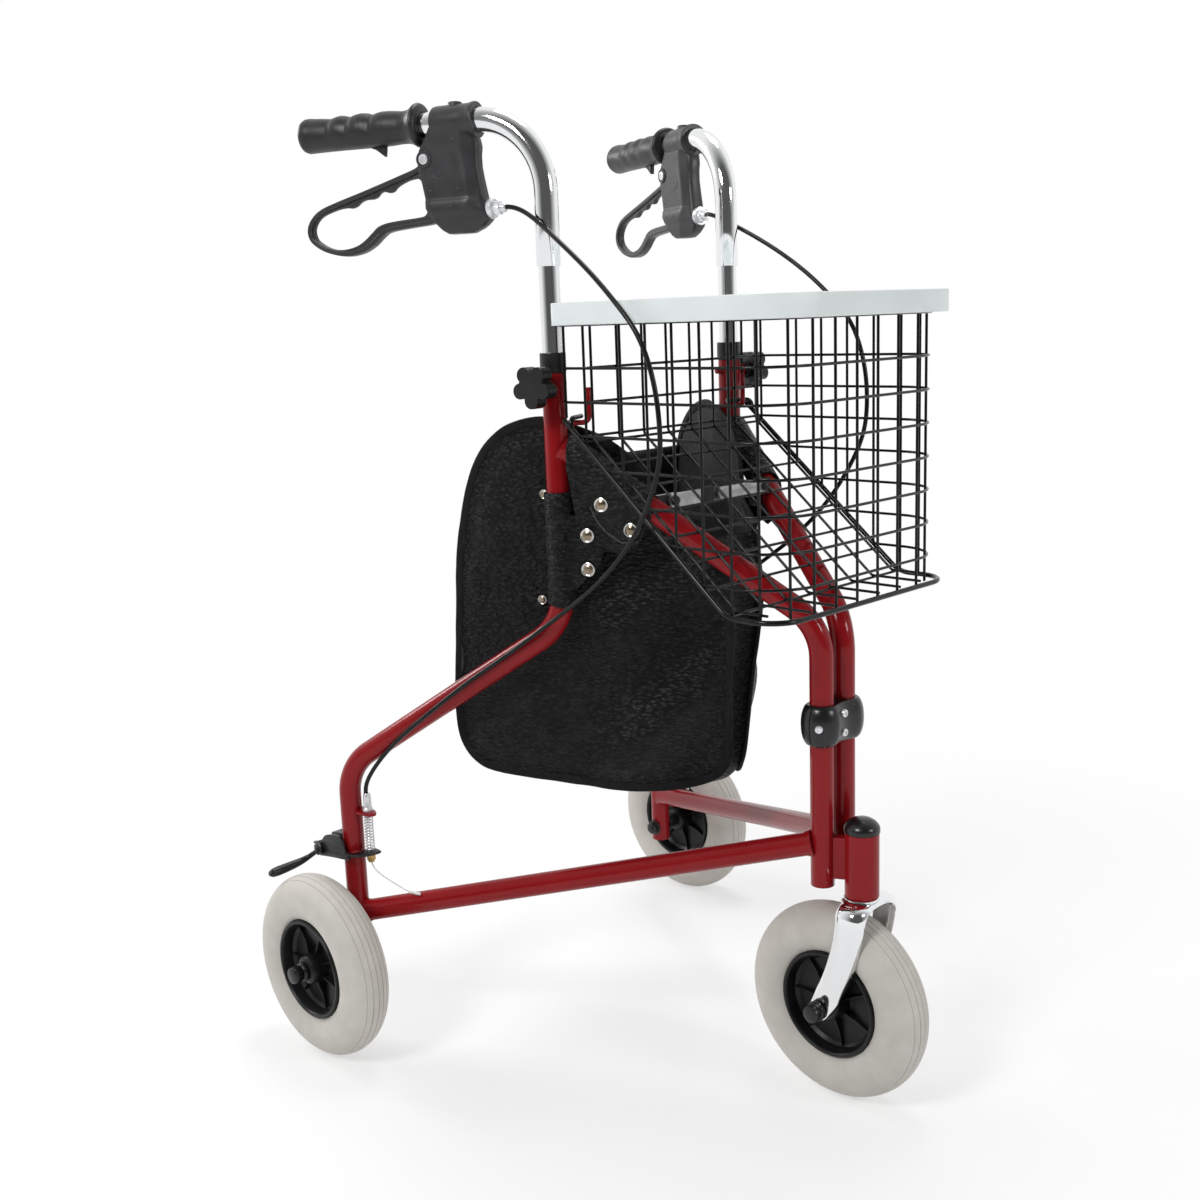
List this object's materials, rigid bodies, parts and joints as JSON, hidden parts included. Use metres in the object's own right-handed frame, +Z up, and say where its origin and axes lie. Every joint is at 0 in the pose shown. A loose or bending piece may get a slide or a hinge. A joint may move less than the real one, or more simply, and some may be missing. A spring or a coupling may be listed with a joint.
{
  "type": "three wheel rollator walker",
  "caption": "Folding walking aid on wheels: red V-shaped tube frame, height-adjustable chrome handles with loop brakes, wire basket with lid tray and a soft bag.",
  "frame": {"origin": "centre of the bounding box on the floor", "axes": "+X forward towards the front wheel, +Y to the user's left, +Z up"},
  "size_m": [0.6322, 0.6438, 0.9375],
  "materials": {
    "red_paint": "gloss",
    "chrome": "polished",
    "zinc_steel": "satin",
    "black_plastic": "satin",
    "grip_rubber": "matte",
    "grey_tyre": "matte",
    "black_wire": "gloss",
    "black_steel": "satin",
    "white_plastic": "satin",
    "bag_fabric": "matte",
    "spring_steel": "bright"
  },
  "bodies": {
    "right_frame": {"right_main_tube": "red_paint", "right_front_tube": "red_paint", "right_lower_rail": "red_paint", "right_basket_hook": "red_paint", "right_collar": "black_plastic", "right_brake_bracket": "black_plastic", "right_rear_axle": "black_steel", "right_brake_spring": "spring_steel", "right_brake_wire": "spring_steel", "right_brake_cable": "black_plastic", "right_brace_bracket": "black_steel", "head_tube": "red_paint", "head_cap": "black_plastic", "clamp_front": "black_plastic", "clamp_rear": "black_plastic", "bag": "bag_fabric"},
    "right_handle": {"right_handle_tube": "chrome", "right_grip": "grip_rubber", "right_brake_housing": "black_plastic", "right_cable_adjuster": "zinc_steel"},
    "right_lever": {"right_brake_lever": "black_plastic"},
    "right_knob_body": {"right_knob": "black_plastic"},
    "right_arm": {"right_brake_arm": "black_steel"},
    "right_wheel": {"right_rear_tyre": "grey_tyre", "right_rear_rim": "black_plastic"},
    "right_link": {"right_brace_link": "zinc_steel", "brace_strap": "bag_fabric"},
    "left_frame": {"left_main_tube": "red_paint", "left_front_tube": "red_paint", "left_lower_rail": "red_paint", "left_basket_hook": "red_paint", "left_collar": "black_plastic", "left_brake_bracket": "black_plastic", "left_rear_axle": "black_steel", "left_brake_spring": "spring_steel", "left_brake_wire": "spring_steel", "left_brake_cable": "black_plastic", "left_brace_bracket": "black_steel"},
    "left_handle": {"left_handle_tube": "chrome", "left_grip": "grip_rubber", "left_brake_housing": "black_plastic", "left_cable_adjuster": "zinc_steel"},
    "left_lever": {"left_brake_lever": "black_plastic"},
    "left_knob_body": {"left_knob": "black_plastic"},
    "left_arm": {"left_brake_arm": "black_steel"},
    "left_wheel": {"left_rear_tyre": "grey_tyre", "left_rear_rim": "black_plastic"},
    "left_link": {"left_brace_link": "zinc_steel"},
    "fork_body": {"fork": "chrome", "front_axle": "black_steel"},
    "front_wheel": {"front_tyre": "grey_tyre", "front_rim": "black_plastic"},
    "basket": {"basket_rim": "black_wire", "basket_base": "black_wire", "basket_right_net": "black_wire", "basket_left_net": "black_wire", "basket_front_net": "black_wire", "basket_slope_net": "black_wire", "basket_rear_net": "black_wire"},
    "tray_body": {"tray": "white_plastic"}
  },
  "joints": [
    {"name": "fold", "type": "hinge", "parent": "right_frame", "child": "left_frame", "pos_m": [0.21561, 0.0165, 0.3], "axis": [0, 0, 1], "range_deg": [0, 36], "deforming": ["bag"]},
    {"name": "right_height", "type": "slide", "parent": "right_frame", "child": "right_handle", "axis": [0, 0, 1], "range_m": [-0.07, 0.06], "deforming": ["right_brake_cable"]},
    {"name": "right_squeeze", "type": "hinge", "parent": "right_handle", "child": "right_lever", "pos_m": [-0.11309, -0.16717, 0.886], "axis": [-0.3535, 0.9354, 0], "range_deg": [0, 16], "stiffness_Nm_per_rad": 1, "springref_deg": -5.73},
    {"name": "right_brake", "type": "hinge", "parent": "right_frame", "child": "right_arm", "pos_m": [-0.25611, -0.2505, 0.203], "axis": [0, -1, 0], "range_deg": [0, 10.5], "deforming": ["right_brake_spring", "right_brake_wire"]},
    {"name": "right_knob_turn", "type": "hinge", "parent": "right_frame", "child": "right_knob_body", "pos_m": [-0.00364, -0.12582, 0.679], "axis": [0.1994, -0.9799, 0], "range_deg": [0, 360]},
    {"name": "right_wheel_spin", "type": "hinge", "parent": "right_frame", "child": "right_wheel", "pos_m": [-0.22111, -0.28225, 0.095], "axis": [0, 1, 0], "continuous": true},
    {"name": "right_brace", "type": "hinge", "parent": "right_frame", "child": "right_link", "pos_m": [0.08229, -0.06286, 0.57], "axis": [-1, 0, 0], "range_deg": [0, 72]},
    {"name": "left_height", "type": "slide", "parent": "left_frame", "child": "left_handle", "axis": [0, 0, 1], "range_m": [-0.07, 0.06], "deforming": ["left_brake_cable"]},
    {"name": "left_squeeze", "type": "hinge", "parent": "left_handle", "child": "left_lever", "pos_m": [-0.11309, 0.16717, 0.886], "axis": [0.3535, 0.9354, 0], "range_deg": [0, 16], "stiffness_Nm_per_rad": 1, "springref_deg": -5.73},
    {"name": "left_brake", "type": "hinge", "parent": "left_frame", "child": "left_arm", "pos_m": [-0.25611, 0.2505, 0.203], "axis": [0, -1, 0], "range_deg": [0, 10.5], "deforming": ["left_brake_spring", "left_brake_wire"]},
    {"name": "left_knob_turn", "type": "hinge", "parent": "left_frame", "child": "left_knob_body", "pos_m": [-0.00364, 0.12582, 0.679], "axis": [0.1994, 0.9799, 0], "range_deg": [0, 360]},
    {"name": "left_wheel_spin", "type": "hinge", "parent": "left_frame", "child": "left_wheel", "pos_m": [-0.22111, 0.28225, 0.095], "axis": [0, 1, 0], "continuous": true},
    {"name": "left_brace", "type": "hinge", "parent": "left_frame", "child": "left_link", "pos_m": [0.08229, 0.06286, 0.57], "axis": [1, 0, 0], "range_deg": [0, 72]},
    {"name": "steer", "type": "hinge", "parent": "right_frame", "child": "fork_body", "pos_m": [0.24781, 0, 0.235], "axis": [0, 0, 1], "continuous": true},
    {"name": "front_spin", "type": "hinge", "parent": "fork_body", "child": "front_wheel", "pos_m": [0.22111, 0, 0.095], "axis": [0, 1, 0], "continuous": true},
    {"name": "basket_lift", "type": "slide", "parent": "right_frame", "child": "basket", "axis": [0, 0, 1], "range_m": [0, 0.04]},
    {"name": "tray_lift", "type": "slide", "parent": "basket", "child": "tray_body", "axis": [0, 0, 1], "range_m": [0, 0.03]}
  ],
  "couplings": [
    {"joint": "right_brake", "follows": "right_squeeze", "ratio": 0.65625},
    {"joint": "left_brake", "follows": "left_squeeze", "ratio": 0.65625},
    {"joint": "right_brace", "follows": "fold", "ratio": 2},
    {"joint": "left_brace", "follows": "fold", "ratio": 2}
  ]
}
